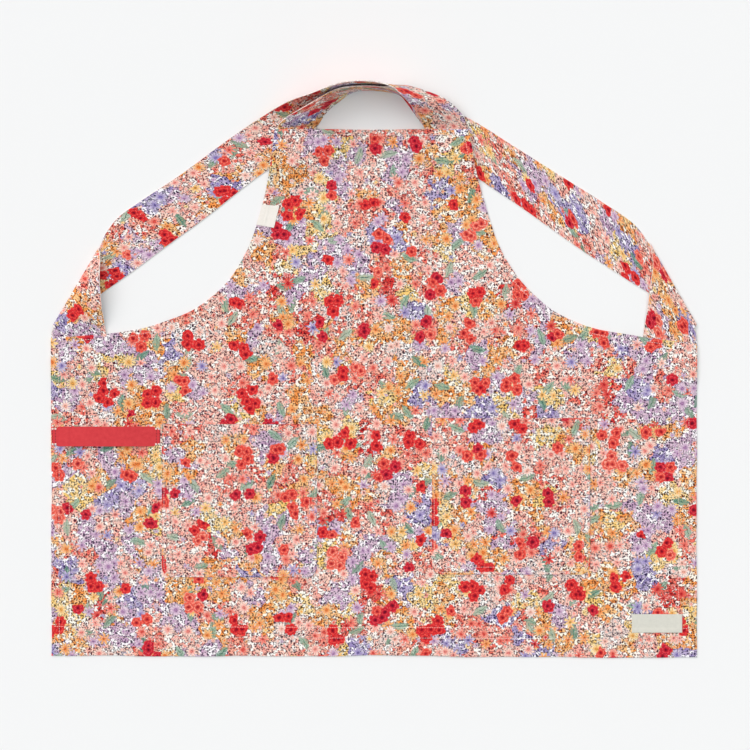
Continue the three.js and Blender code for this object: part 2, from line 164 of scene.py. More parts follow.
ARM_L = even(spline([(x, y, 0) for x, y in ARMHOLE_LEFT], np.linspace(0, 1, 400)), 91)[:, :2]
ARM_R = even(spline([(x, y, 0) for x, y in ARMHOLE_RIGHT], np.linspace(0, 1, 400)), 91)[:, :2]
TOP_EDGE = np.vstack([ARM_L[::3], ARM_L[-1:], ARM_R[::-3], ARM_R[:1]])


def hem_y(x):
    return HEM_Y_LEFT + (HEM_Y_RIGHT - HEM_Y_LEFT) * (np.asarray(x, float) + HALF) / BODY_WIDTH


def lift(x, y):
    z = np.zeros(np.shape(x))
    for x1, y1, x2, y2, flat, fade, height in LIFTS:
        d = to_segments(x, y, [(x1, y1), (x2, y2)])
        z = np.maximum(z, height * (1 - smooth(flat, fade, d)))
    return z


def ripple(x, y):
    """Shallow waves left in pressed canvas."""
    a = np.sin(x / 47.0 + 0.7 * np.sin(y / 61.0)) * np.sin(y / 83.0 + 1.3)
    b = np.sin((x + 0.8 * y) / 31.0 + 2.0 * np.sin(x / 140.0)) * np.sin((y - 0.3 * x) / 53.0)
    rim = np.minimum(HALF - np.abs(x), y - hem_y(x))
    return (0.22 + 0.13 * a + 0.09 * b) * smooth(2.0, 60.0, rim)


STITCH_SIDE = (11.1, 26.0)          # rows in from the side edges
STITCH_BOTTOM = (26.6, 42.0)        # rows up from the bottom edge
STITCH_EDGE = 7.6                   # row in from the armholes and the bib's top


def groove(d):
    return np.exp(-(np.asarray(d, float) / 0.9) ** 2)


def body_thick(x, y, edge):
    """Cloth thickness with its turned hems, puckered along the seams."""
    inset = HALF - np.abs(x)
    up = y - hem_y(x)
    t = CLOTH + HEM_EXTRA * np.maximum(1 - smooth(SIDE_HEM - 0.4, SIDE_HEM + 2.2, inset),
                                       1 - smooth(BOTTOM_HEM, BOTTOM_HEM + 2.6, up))
    t = np.maximum(t, CLOTH + EDGE_EXTRA * (1 - smooth(EDGE_HEM - 1, EDGE_HEM + 1.6, edge)))
    pull = np.zeros(np.shape(x))
    for s in STITCH_SIDE:
        pull = np.maximum(pull, groove(inset - s))
    for s in STITCH_BOTTOM:
        pull = np.maximum(pull, groove(up - s))
    pull = np.maximum(pull, groove((edge - STITCH_EDGE) * 0.6))
    pucker = 0.10 * np.sin(x / 3.1 + y / 3.7) * np.exp(-(np.minimum(np.minimum(inset, up), edge) / 22.0) ** 2)
    return t - 0.28 * pull + pucker


def body_base(x, y):
    return lift(x, y) + ripple(x, y)


def body_top(x, y):
    x, y = np.asarray(x, float), np.asarray(y, float)
    return body_base(x, y) + body_thick(x, y, to_segments(x, y, TOP_EDGE))


def hem_sway(x, y):
    """How far the loosely lying hems wander in from a straight line."""
    x, y = np.asarray(x, float), np.asarray(y, float)
    up, inset = y - hem_y(x), HALF - np.abs(x)
    rise = 0.5 + 1.7 * np.exp(-((x - 15.0) / 120.0) ** 2) + 0.55 * np.sin(x / 33.0 + 0.8) + 0.35 * np.sin(x / 14.5 + 2.0)
    rise = np.maximum(rise, 0.0) * (1 - smooth(4.0, 40.0, up))
    side = np.sign(x)
    draw = 0.45 + 0.40 * np.sin(y / 39.0 + 1.1 * side) + 0.30 * np.sin(y / 15.5 - 0.6 * side)
    draw = np.maximum(draw, 0.0) * (1 - smooth(3.0, 24.0, inset)) * (1 - smooth(-70.0, -20.0, y))
    loop_end = (x < 0) * (1 - smooth(18.0, 40.0, np.abs(y - (LOOP["y0"] + LOOP["y1"]) / 2)))
    return -side * draw * (1 - loop_end), rise


def worn_top(x, y):
    """Height of the body's face at a place moved by its hem."""
    dx, dy = hem_sway(x, y)
    return body_top(x - dx, y - dy)


def worn_line(points):
    p = np.asarray(points, float)
    return p + np.stack(hem_sway(p[:, 0], p[:, 1]), axis=1)


def cloth(name, front, back, uv_front, uv_back, materials, back_slot=0, rim_slot=0):
    """A closed cloth wall: two facing grids of points with a rolled edge."""
    ni, nj = front.shape[:2]
    F, B = front.copy(), back.copy()
    ring = ([(i, 0) for i in range(ni)] + [(ni - 1, j) for j in range(1, nj)]
            + [(i, nj - 1) for i in range(ni - 2, -1, -1)] + [(0, j) for j in range(nj - 2, 0, -1)])
    loops = []
    angles = (math.pi / 4, 0.0, -math.pi / 4)
    rim = np.zeros((len(angles), len(ring), 3))
    for k, (i, j) in enumerate(ring):
        ii, jj = min(max(i, 1), ni - 2), min(max(j, 1), nj - 2)
        m = (front[i, j] + back[i, j]) / 2
        n = front[i, j] - back[i, j]
        r = np.linalg.norm(n) / 2
        n = n / max(2 * r, 1e-9)
        o = m - (front[ii, jj] + back[ii, jj]) / 2
        o = o - n * (o @ n)
        reach = np.linalg.norm(o)
        o = o / max(reach, 1e-9)
        r_out = min(r, 0.6 * reach)
        c = m - o * r_out
        F[i, j], B[i, j] = c + n * r, c - n * r
        for a, ang in enumerate(angles):
            rim[a, k] = c + o * r_out * math.cos(ang) + n * r * math.sin(ang)
    verts = np.vstack([F.reshape(-1, 3), B.reshape(-1, 3), rim.reshape(-1, 3)])
    verts[:, 2] = np.maximum(verts[:, 2], 0.0)
    nf = ni * nj
    a = (np.arange(ni - 1)[:, None] * nj + np.arange(nj - 1)[None, :]).ravel()
    quads_f = np.stack([a, a + nj, a + nj + 1, a + 1], axis=1)
    quads_b = quads_f[:, ::-1] + nf
    fr = np.array([i * nj + j for i, j in ring])
    P = len(ring)
    rows = [fr] + [2 * nf + k * P + np.arange(P) for k in range(len(angles))] + [fr + nf]
    quads_r = []
    for top, low in zip(rows[:-1], rows[1:]):
        quads_r.append(np.stack([top, low, np.roll(low, -1), np.roll(top, -1)], axis=1))
    quads_r = np.vstack(quads_r)
    faces = np.vstack([quads_f, quads_b, quads_r])
    uv_rim = np.vstack([uv_front.reshape(-1, 2)[fr]] * len(angles))
    uv = np.vstack([uv_front.reshape(-1, 2), uv_back.reshape(-1, 2), uv_rim])
    slots = np.concatenate([np.zeros(len(quads_f), int), np.full(len(quads_b), back_slot), np.full(len(quads_r), rim_slot)])
    return mesh_object(name, metres(verts), faces, uv, materials, slots)


def mesh_object(name, verts, faces, uv, materials, slots=None):
    me = bpy.data.meshes.new(name)
    me.vertices.add(len(verts))
    me.vertices.foreach_set("co", np.asarray(verts, np.float32).ravel())
    sizes = np.full(len(faces), faces.shape[1], np.int32)
    me.loops.add(int(sizes.sum()))
    me.loops.foreach_set("vertex_index", faces.astype(np.int32).ravel())
    me.polygons.add(len(faces))
    me.polygons.foreach_set("loop_start", np.concatenate([[0], np.cumsum(sizes)[:-1]]).astype(np.int32))
    me.polygons.foreach_set("loop_total", sizes)
    for m in materials:
        me.materials.append(m)
    if slots is not None:
        me.polygons.foreach_set("material_index", np.asarray(slots, np.int32))
    layer = me.uv_layers.new(name="flat")
    layer.data.foreach_set("uv", (np.asarray(uv, float)[faces.ravel()] / 1000.0).astype(np.float32).ravel())
    me.update(calc_edges=True)
    me.validate()
    me.polygons.foreach_set("use_smooth", np.ones(len(me.polygons), bool))
    ob = bpy.data.objects.new(name, me)
    bpy.context.scene.collection.objects.link(ob)
    return ob


def piece(ob, node):
    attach(ob, "root")
    if node:
        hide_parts(node)
    return ob


# ------------------------------------------------------------------ materials
def rgb(r, g, b):
    def lin(c):
        c /= 255.0
        return c / 12.92 if c <= 0.04045 else ((c + 0.055) / 1.055) ** 2.4
    return (lin(r), lin(g), lin(b), 1.0)


class Net:
    """Short names for building a node tree."""

    def __init__(self, tree):
        self.tree = tree

    def node(self, kind, **props):
        n = self.tree.nodes.new(kind)
        for k, v in props.items():
            setattr(n, k, v)
        return n

    def feed(self, socket, value):
        if isinstance(value, bpy.types.NodeSocket):
            self.tree.links.new(value, socket)
        else:
            socket.default_value = value

    def math(self, op, a, b=0.0, c=0.0, clamp=False):
        n = self.node("ShaderNodeMath", operation=op, use_clamp=clamp)
        for s, v in zip(n.inputs, (a, b, c)):
            self.feed(s, v)
        return n.outputs[0]

    def add(self, a, b): return self.math("ADD", a, b)
    def sub(self, a, b): return self.math("SUBTRACT", a, b)
    def mul(self, a, b): return self.math("MULTIPLY", a, b)
    def div(self, a, b): return self.math("DIVIDE", a, b)
    def low(self, a, b): return self.math("MINIMUM", a, b)
    def high(self, a, b): return self.math("MAXIMUM", a, b)
    def below(self, a, b): return self.math("LESS_THAN", a, b)

    def vec(self, op, a, b=(0.0, 0.0, 0.0), out=0):
        n = self.node("ShaderNodeVectorMath", operation=op)
        self.feed(n.inputs[0], a)
        if op == "SCALE":
            self.feed(n.inputs["Scale"], b)
        elif op != "LENGTH":
            self.feed(n.inputs[1], b)
        return n.outputs["Value"] if op == "LENGTH" else n.outputs[0]

    def split(self, v):
        n = self.node("ShaderNodeSeparateXYZ")
        self.feed(n.inputs[0], v)
        return n.outputs[0], n.outputs[1], n.outputs[2]

    def step(self, lo, hi, v, rising=True):
        n = self.node("ShaderNodeMapRange", interpolation_type="SMOOTHSTEP")
        for s, x in zip(n.inputs, (v, lo, hi, 0.0 if rising else 1.0, 1.0 if rising else 0.0)):
            self.feed(s, x)
        return n.outputs[0]

    def ramp(self, v, lo, hi, a, b):
        n = self.node("ShaderNodeMapRange")
        for s, x in zip(n.inputs, (v, lo, hi, a, b)):
            self.feed(s, x)
        return n.outputs[0]

    def mix(self, f, a, b, mode="MIX"):
        n = self.node("ShaderNodeMix", data_type="RGBA", blend_type=mode)
        self.feed(n.inputs[0], f)
        self.feed(n.inputs[6], a)
        self.feed(n.inputs[7], b)
        return n.outputs[2]

    def choose(self, v, rows):
        """Colour by a number in 0..1; rows are (start, colour)."""
        n = self.node("ShaderNodeValToRGB")
        n.color_ramp.interpolation = "CONSTANT"
        e = n.color_ramp.elements
        while len(e) < len(rows):
            e.new(0.5)
        for k, (at, c) in enumerate(rows):
            e[k].position = at
            e[k].color = c
        self.feed(n.inputs[0], v)
        return n.outputs[0]

    def noise(self, v, size, detail=1.0, dims="2D"):
        n = self.node("ShaderNodeTexNoise", noise_dimensions=dims)
        self.feed(n.inputs["Vector"], v)
        n.inputs["Scale"].default_value = 1.0 / size
        n.inputs["Detail"].default_value = detail
        return n

    def cells(self, v, size, randomness=1.0, feature="F1"):
        n = self.node("ShaderNodeTexVoronoi", voronoi_dimensions="2D", feature=feature)
        self.feed(n.inputs["Vector"], v)
        n.inputs["Scale"].default_value = 1.0 / size
        n.inputs["Randomness"].default_value = randomness
        return n


def bloom(net, p, seed, size, randomness, radius, spread, petals, waist, power, fit=False):
    """One blossom in each cell of a scattered grid. q is 0 at its centre and 1 at
    the edge of its petals, home its centre; the random numbers belong to the cell."""
    away = (31.7 * seed, 17.3 * seed, 0.0)
    at = net.vec("ADD", p, away)
    v = net.cells(at, size, randomness)
    d = net.vec("SUBTRACT", at, v.outputs["Position"])
    x, y, _ = net.split(d)
    c1, c2, c3 = net.split(v.outputs["Color"])
    r = net.vec("LENGTH", d)
    reach = net.ramp(c2, 0.0, 1.0, radius * (1 - spread), radius)
    if fit:
        room = net.cells(at, size, randomness, "N_SPHERE_RADIUS")
        reach = net.low(reach, net.mul(room.outputs["Radius"], size * 1.03))
    turn = net.add(net.math("ARCTAN2", y, x), net.mul(c1, 6.2832))
    lobe = net.math("ABSOLUTE", net.math("COSINE", net.mul(turn, petals / 2.0)))
    edge = net.mul(reach, net.math("MULTIPLY_ADD", net.math("POWER", lobe, power), 1.0 - waist, waist))
    home = net.vec("SUBTRACT", v.outputs["Position"], away)
    return dict(q=net.div(r, edge), lobe=lobe, turn=turn, rr=net.div(r, reach), c=(c1, c2, c3), home=home)


FAMILY = ("lavender", "periwinkle", "blush", "coral", "orange", "yellow", "sage", "red")
FAMILY_START = (0.0, 0.17, 0.225, 0.48, 0.65, 0.82, 0.905, 0.97)
GROUND = [rgb(255, 248, 251), rgb(252, 247, 254), rgb(255, 249, 243), rgb(255, 243, 235),
          rgb(255, 246, 230), rgb(255, 250, 238), rgb(255, 250, 247), rgb(255, 240, 233)]
FLORET = [rgb(222, 193, 211), rgb(190, 174, 208), rgb(252, 208, 191), rgb(250, 176, 154),
          rgb(251, 197, 138), rgb(252, 221, 162), rgb(236, 212, 204), rgb(242, 120, 104)]
PETAL = [rgb(200, 163, 193), rgb(158, 142, 192), rgb(247, 174, 159), rgb(240, 114, 99),
         rgb(245, 153, 80), rgb(249, 206, 122), rgb(250, 196, 180), rgb(226, 62, 58)]
INK = [rgb(46, 24, 58), rgb(36, 28, 72), rgb(82, 18, 40), rgb(92, 12, 30),
       rgb(84, 26, 20), rgb(70, 42, 30), rgb(56, 34, 50), rgb(80, 8, 24)]
TIP = [rgb(235, 211, 226), rgb(212, 200, 225), rgb(255, 224, 209), rgb(252, 172, 153),
       rgb(253, 201, 138), rgb(255, 229, 174), rgb(254, 238, 229), rgb(244, 108, 95)]
ROOT = [rgb(180, 133, 178), rgb(134, 118, 182), rgb(241, 133, 122), rgb(229, 79, 70),
        rgb(238, 124, 58), rgb(243, 170, 82), rgb(244, 170, 150), rgb(200, 38, 46)]


def floral_print():
    """A scattered ditsy floral, drawn in millimetres of flat cloth."""
    tree = bpy.data.node_groups.new("floral_print", "ShaderNodeTree")
    tree.interface.new_socket(name="Color", in_out="OUTPUT", socket_type="NodeSocketColor")
    tree.interface.new_socket(name="Weave", in_out="OUTPUT", socket_type="NodeSocketFloat")
    net = Net(tree)
    flat = net.node("ShaderNodeUVMap", uv_map="flat")
    mm = net.vec("SCALE", flat.outputs[0], 1000.0)

    # the hand-drawn wobble of every outline
    wob = net.noise(mm, 5.0, 2.0)
    p = net.vec("ADD", mm, net.vec("SCALE", net.vec("SUBTRACT", wob.outputs["Color"], (0.5, 0.5, 0.5)), 4.2))

    def drift(v, size=29.0, seed=0.0):
        """Which patch of colour a point lies in: two random numbers of it."""
        sway = net.noise(v, 20.0, 1.0)
        far = net.vec("ADD", v, net.vec("SCALE", net.vec("SUBTRACT", sway.outputs["Color"], (0.5, 0.5, 0.5)), 34.0))
        c = net.cells(net.vec("ADD", far, (420.0 + seed, 610.0 - seed, 0.0)), size, 1.0)
        return net.split(c.outputs["Color"])[:2]

    def family(colours, v):
        return net.choose(v, list(zip(FAMILY_START, colours)))

    def stray(v, share, draw):
        """The patch's own family, or for a share of flowers another one."""
        lot = net.math("FRACT", net.mul(draw, 7.31))
        return net.math("FRACT", net.add(v, net.mul(net.below(lot, share), net.add(0.21, draw))))

    # heads of tiny florets: pale cells with broken outlines and inked dots
    fam, _ = drift(mm)
    at = net.vec("ADD", p, (77.0, 13.0, 0.0))
    tiny = net.cells(at, 4.6, 0.95)
    gap = net.cells(at, 4.6, 0.95, "DISTANCE_TO_EDGE")
    d1, d2, d3 = net.split(tiny.outputs["Color"])
    col = net.mix(net.below(d1, 0.66), family(GROUND, fam), family(FLORET, fam))
    col = net.mix(net.below(d1, 0.30), col, family(PETAL, fam))
    ink = family(INK, fam)
    press = net.noise(mm, 2.6, 1.0).outputs[0]
    pen = net.ramp(press, 0.40, 0.65, 0.0, 0.13)
    inked = net.step(pen, net.sub(pen, 0.04), gap.outputs["Distance"])
    col = net.mix(net.mul(inked, 0.85), col, ink)
    speck = net.cells(net.vec("ADD", p, (19.0, 143.0, 0.0)), 3.5, 0.75)
    e1, e2, _ = net.split(speck.outputs["Color"])
    wide = net.ramp(e1, 0.0, 1.0, 0.22, 0.42)
    dot = net.mul(net.step(wide, net.sub(wide, 0.07), speck.outputs["Distance"]), net.below(e2, 0.92))
    col = net.mix(dot, col, ink)

    # small five-petalled flowers
    s = bloom(net, p, 5, 12.0, 0.9, 6.6, 0.4, 5, 0.20, 0.8)
    s1, s2, s3 = s["c"]
    pick = stray(drift(s["home"])[0], 0.22, s3)
    ink = family(INK, pick)
    scol = net.mix(net.step(0.2, 0.9, s["q"]), family(PETAL, pick), net.mix(0.5, family(FLORET, pick), family(GROUND, pick)))
    scol = net.mix(net.mul(net.step(0.34, 0.0, s["lobe"]), net.step(0.15, 0.4, s["rr"])), scol, ink)
    scol = net.mix(net.mul(net.step(0.70, 0.84, s["q"]), 0.85), scol, ink)
    scol = net.mix(net.step(0.15, 0.23, s["rr"], False), scol, net.mix(net.below(s1, 0.4), family(ROOT, pick), ink))
    smask = net.mul(net.step(0.95, 1.0, s["q"], False), net.below(s2, 0.62))
    col = net.mix(smask, col, scol)

    # feathered leaves
    at = net.vec("ADD", p, (611.0, 207.0, 0.0))
    lv = net.cells(at, 32.0, 0.9)
    dx, dy, _ = net.split(net.vec("SUBTRACT", at, lv.outputs["Position"]))
    l1, l2, l3 = net.split(lv.outputs["Color"])
    turn = net.mul(l1, 6.2832)
    ca, sa = net.math("COSINE", turn), net.math("SINE", turn)
    u = net.add(net.mul(dx, ca), net.mul(dy, sa))
    w = net.sub(net.mul(dy, ca), net.mul(dx, sa))
    w = net.sub(w, net.mul(net.mul(u, u), net.ramp(l2, 0.0, 1.0, -0.02, 0.02)))
    aw = net.math("ABSOLUTE", w)
    taper = net.sub(1.0, net.math("POWER", net.math("ABSOLUTE", net.div(u, 13.0)), 2.0))
    across = net.div(aw, net.high(net.mul(taper, 5.4), 0.001))
    frond = net.math("PINGPONG", net.sub(u, net.mul(aw, 1.1)), 1.25)
    cut = net.step(0.22, 0.40, net.sub(frond, net.mul(across, 0.25)))
    cut = net.high(cut, net.step(0.20, 0.12, across))
    lmask = net.mul(net.mul(net.step(0.95, 1.0, across, False), net.below(l3, 0.34)), net.ramp(cut, 0.0, 1.0, 0.35, 1.0))
    green = net.choose(net.math("FRACT", net.mul(l3, 9.7)), [
        (0.0, rgb(150, 182, 156)), (0.35, rgb(112, 158, 134)), (0.6, rgb(138, 168, 144)), (0.8, rgb(176, 194, 170))])
    green = net.mix(net.step(0.30, 0.10, cut), green, rgb(60, 84, 78))
    green = net.mix(net.mul(net.step(0.80, 0.95, across), 0.6), green, rgb(56, 76, 70))
    green = net.mix(net.step(0.10, 0.04, across), green, rgb(58, 82, 76))
    col = net.mix(lmask, col, green)

    # open flowers with five pointed petals
    o = bloom(net, p, 21, 22.0, 0.9, 13.0, 0.3, 7, 0.20, 1.2)
    o1, o2, o3 = o["c"]
    pick = stray(drift(o["home"])[0], 0.30, o3)
    root, ink = family(ROOT, pick), family(INK, pick)
    ocol = net.mix(net.step(0.10, 0.80, o["q"]), root, family(TIP, pick))
    fine = net.math("PINGPONG", net.mul(o["turn"], 25.0 / 6.2832), 0.5)
    ocol = net.mix(net.mul(net.mul(net.step(0.20, 0.04, fine), net.step(0.85, 0.45, o["rr"])), 0.6), ocol, root)
    ocol = net.mix(net.mul(net.step(0.30, 0.0, o["lobe"]), net.step(0.12, 0.3, o["rr"])), ocol, ink)
    ocol = net.mix(net.mul(net.step(0.74, 0.90, o["q"]), 0.8), ocol, ink)
    ocol = net.mix(net.step(0.12, 0.17, o["rr"], False), ocol, net.mix(0.55, root, ink))
    omask = net.mul(net.step(0.95, 1.0, o["q"], False), net.below(o2, 0.52))
    col = net.mix(omask, col, ocol)

    # daisies
    m = bloom(net, p, 9, 29.0, 0.9, 12.8, 0.3, 11, 0.26, 0.8)
    m1, m2, m3 = m["c"]
    pick = stray(drift(m["home"])[0], 0.30, m3)
    root, ink = family(ROOT, pick), family(INK, pick)
    mcol = net.mix(net.step(0.12, 0.72, m["q"]), root, family(TIP, pick))
    streak = net.math("PINGPONG", net.mul(m["turn"], 36.0 / 6.2832), 0.5)
    mcol = net.mix(net.mul(net.mul(net.step(0.20, 0.03, streak), net.step(0.80, 0.35, m["rr"])), 0.6), mcol, root)
    mcol = net.mix(net.mul(net.step(0.30, 0.05, m["lobe"]), net.step(0.2, 0.34, m["rr"])), mcol, ink)
    mcol = net.mix(net.mul(net.step(0.76, 0.92, m["q"]), 0.75), mcol, ink)
    mcol = net.mix(net.step(0.16, 0.20, m["rr"], False), mcol, net.mix(0.6, root, ink))
    mcol = net.mix(net.step(0.10, 0.14, m["rr"], False), mcol, root)
    mmask = net.mul(net.step(0.96, 1.0, m["q"], False), net.below(m2, 0.46))
    col = net.mix(mmask, col, mcol)

    # clumps of full red blossoms, two rounds of petals each
    b = bloom(net, p, 14, 15.5, 0.8, 10.6, 0.2, 6, 0.70, 0.6)
    b1, b2, b3 = b["c"]
    clump = net.cells(net.vec("ADD", b["home"], (88.0, 41.0, 0.0)), 66.0, 0.75)
    g1, g2, g3 = net.split(clump.outputs["Color"])
    near = net.below(net.mul(clump.outputs["Distance"], 66.0), net.ramp(g1, 0.0, 1.0, 9.0, 18.0))
    hue = net.math("FRACT", net.add(net.mul(g2, 0.92), net.mul(b3, 0.16)))
    red = net.choose(hue, [(0.0, rgb(222, 46, 50)), (0.40, rgb(232, 76, 66)), (0.66, rgb(208, 38, 54)), (0.86, rgb(238, 100, 84))])
    deep = net.choose(hue, [(0.0, rgb(150, 20, 36)), (0.40, rgb(172, 34, 42)), (0.66, rgb(128, 16, 40)), (0.86, rgb(190, 50, 52))])
    light = net.choose(hue, [(0.0, rgb(240, 92, 82)), (0.40, rgb(250, 138, 118)), (0.66, rgb(232, 82, 90)), (0.86, rgb(253, 176, 154))])
    lobe2 = net.math("ABSOLUTE", net.math("SINE", net.math("MULTIPLY_ADD", b["turn"], 2.5, 0.5)))
    ring2 = net.div(b["rr"], net.math("MULTIPLY_ADD", net.math("POWER", lobe2, 0.6), 0.16, 0.40))

    def petals(f):
        return net.mix(net.step(0.55, 1.0, f), net.mix(net.step(0.0, 0.5, f), deep, red), light)

    bcol = petals(net.ramp(b["q"], 0.45, 1.0, 0.0, 1.0))
    bcol = net.mix(net.mul(net.step(0.30, 0.04, b["lobe"]), 0.85), bcol, deep)
    bcol = net.mix(net.step(0.97, 1.03, ring2, False), bcol, petals(net.ramp(ring2, 0.30, 1.0, 0.0, 1.0)))
    bcol = net.mix(net.mul(net.step(0.30, 0.04, lobe2), net.step(1.0, 0.96, ring2)), bcol, deep)
    bcol = net.mix(net.mul(net.step(0.92, 1.0, b["q"]), 0.7), bcol, deep)
    bcol = net.mix(net.step(0.09, 0.14, b["rr"], False), bcol, net.mix(0.5, deep, rgb(70, 12, 30)))
    bmask = net.mul(net.step(0.98, 1.02, b["q"], False), net.mul(near, net.below(b2, 0.90)))
    col = net.mix(bmask, col, bcol)

    # uneven ink, and the yarns under it
    wash = net.noise(mm, 8.0, 2.0)
    tone = net.ramp(wash.outputs[0], 0.3, 0.7, 0.95, 1.03)
    ux, uy, _ = net.split(mm)
    warp = net.math("SINE", net.mul(ux, 6.2832 / 0.62))
    weft = net.math("SINE", net.mul(uy, 6.2832 / 0.68))
    weave = net.math("MULTIPLY_ADD", net.mul(warp, weft), 0.5, 0.5)
    slub = net.noise(net.vec("MULTIPLY", mm, (1.0, 0.12, 0.0)), 0.9, 1.0)
    yarn = net.add(net.mul(weave, 0.7), net.mul(slub.outputs[0], 0.6))
    tone = net.mul(tone, net.ramp(yarn, 0.2, 1.1, 0.965, 1.02))
    shade = net.node("ShaderNodeCombineColor")
    for sck in shade.inputs:
        net.feed(sck, tone)
    col = net.mix(1.0, col, shade.outputs[0], "MULTIPLY")
    out = net.node("NodeGroupOutput")
    net.feed(out.inputs["Color"], col)
    net.feed(out.inputs["Weave"], yarn)
    return tree


def mix_value(self, f, a, b):
    return self.add(a, self.mul(f, self.sub(b, a)))


Net.mix_value = mix_value


def surface(name, roughness, specular, sheen=0.0, sheen_tint=(1.0, 1.0, 1.0, 1.0)):
    """A material with its shader; returns it with its Net and shader node."""
    mat = bpy.data.materials.new(name)
    mat.use_nodes = True
    mat.node_tree.nodes.clear()
    net = Net(mat.node_tree)
    out = net.node("ShaderNodeOutputMaterial")
    sh = net.node("ShaderNodeBsdfPrincipled")
    net.feed(out.inputs["Surface"], sh.outputs[0])
    sh.inputs["Roughness"].default_value = roughness
    sh.inputs["Specular IOR Level"].default_value = specular
    sh.inputs["Sheen Weight"].default_value = sheen
    sh.inputs["Sheen Roughness"].default_value = 0.5
    sh.inputs["Sheen Tint"].default_value = sheen_tint
    return mat, net, sh


def bump(net, sh, height, distance, strength):
    n = net.node("ShaderNodeBump")
    n.inputs["Strength"].default_value = strength
    n.inputs["Distance"].default_value = distance
    net.feed(n.inputs["Height"], height)
    net.feed(sh.inputs["Normal"], n.outputs[0])


FLORAL = floral_print()


def print_material(name, pale_fade_and_highlight):
    """The printed canvas, paled by its second argument: undyed yarn showing through on the reverse, and a painted
    highlight on the straps' edges.
    """
    mat, net, sh = surface(name, 0.88, 0.08, 0.02)
    g = net.node("ShaderNodeGroup", node_tree=FLORAL)
    col = g.outputs["Color"]
    if pale_fade_and_highlight:
        grey = net.node("ShaderNodeHueSaturation")
        grey.inputs["Saturation"].default_value = 0.55
        net.feed(grey.inputs["Color"], col)
        col = net.mix(pale_fade_and_highlight, grey.outputs[0], rgb(250, 242, 236))
    net.feed(sh.inputs["Base Color"], col)
    net.feed(sh.inputs["Roughness"], net.ramp(g.outputs["Weave"], 0.2, 1.1, 0.92, 0.80))
    bump(net, sh, g.outputs["Weave"], 0.00016, 0.55)
    return mat


def tape_material(name, base, dark, light, pitch, twill, roughness=0.8):
    """Woven tape: fine ribs, or twill running at an angle, with uneven dye."""
    mat, net, sh = surface(name, roughness, 0.25, 0.05)
    flat = net.node("ShaderNodeUVMap", uv_map="flat")
    mm = net.vec("SCALE", flat.outputs[0], 1000.0)
    x, y, _ = net.split(mm)
    run = net.add(x, net.mul(y, twill))
    rib = net.math("MULTIPLY_ADD", net.math("SINE", net.mul(run, 6.2832 / pitch)), 0.5, 0.5)
    pick = net.math("MULTIPLY_ADD", net.math("SINE", net.mul(y, 6.2832 / (pitch * 0.72))), 0.5, 0.5)
    cloud = net.noise(mm, 6.0, 3.0).outputs[0]
    grain = net.noise(net.vec("MULTIPLY", mm, (0.3, 2.2, 0.0)), 1.0, 1.0).outputs[0]
    h = net.add(net.mul(rib, 0.65), net.mul(pick, 0.35))
    tone = net.add(net.mul(h, 0.6), net.add(net.mul(cloud, 0.5), net.mul(grain, 0.3)))
    col = net.mix(net.step(0.25, 0.75, tone), dark, base)
    col = net.mix(net.step(0.8, 1.25, tone), col, light)
    net.feed(sh.inputs["Base Color"], col)
    net.feed(sh.inputs["Roughness"], net.ramp(h, 0.0, 1.0, roughness + 0.08, roughness - 0.05))
    bump(net, sh, h, 0.0002, 0.6)
    return mat


def thread_material(name, base, dark):
    mat, net, sh = surface(name, 0.6, 0.3, 0.1)
    flat = net.node("ShaderNodeUVMap", uv_map="flat")
    mm = net.vec("SCALE", flat.outputs[0], 1000.0)
    x, y, _ = net.split(mm)
    twist = net.math("MULTIPLY_ADD", net.math("SINE", net.mul(net.add(x, net.mul(y, 0.8)), 6.2832 / 0.42)), 0.5, 0.5)
    net.feed(sh.inputs["Base Color"], net.mix(twist, dark, base))
    bump(net, sh, twist, 0.0001, 0.5)
    return mat


PRINT = print_material("print_cloth", 0.0)
REVERSE = print_material("print_cloth_reverse", 0.60)
# The straps' edge print is paled towards cream: partly the cloth's paler folded edge, partly a painted highlight along
# the arch's top edge.
PALE_EDGE_AND_HIGHLIGHT = print_material("print_cloth_pale_edge_and_highlight", 0.62)
RED_TAPE = tape_material("red_tape", rgb(214, 60, 66), rgb(192, 44, 53), rgb(224, 82, 84), 1.15, 0.85)
WHITE_TAPE = tape_material("white_tape", rgb(244, 238, 230), rgb(230, 223, 213), rgb(249, 245, 239), 0.7, 0.0)
CREAM_TAPE = tape_material("cream_tape", rgb(218, 216, 205), rgb(201, 199, 188), rgb(228, 226, 216), 0.75, 0.0)
THREAD = thread_material("seam_thread", rgb(250, 232, 224), rgb(228, 194, 186))
TACK_THREAD = thread_material("tack_thread", rgb(252, 246, 240), rgb(236, 222, 214))
CREAM_THREAD = thread_material("cream_thread", rgb(232, 230, 218), rgb(206, 204, 190))
RED_THREAD = thread_material("red_thread", rgb(128, 18, 36), rgb(96, 12, 28))

# ------------------------------------------------------------------ pieces
def half_area(front):
    """Area of one face of a grid, in square metres."""
    a = front[1:, :-1] - front[:-1, :-1]
    b = front[:-1, 1:] - front[:-1, :-1]
    return float(np.linalg.norm(np.cross(a, b), axis=2).sum()) / 1e6


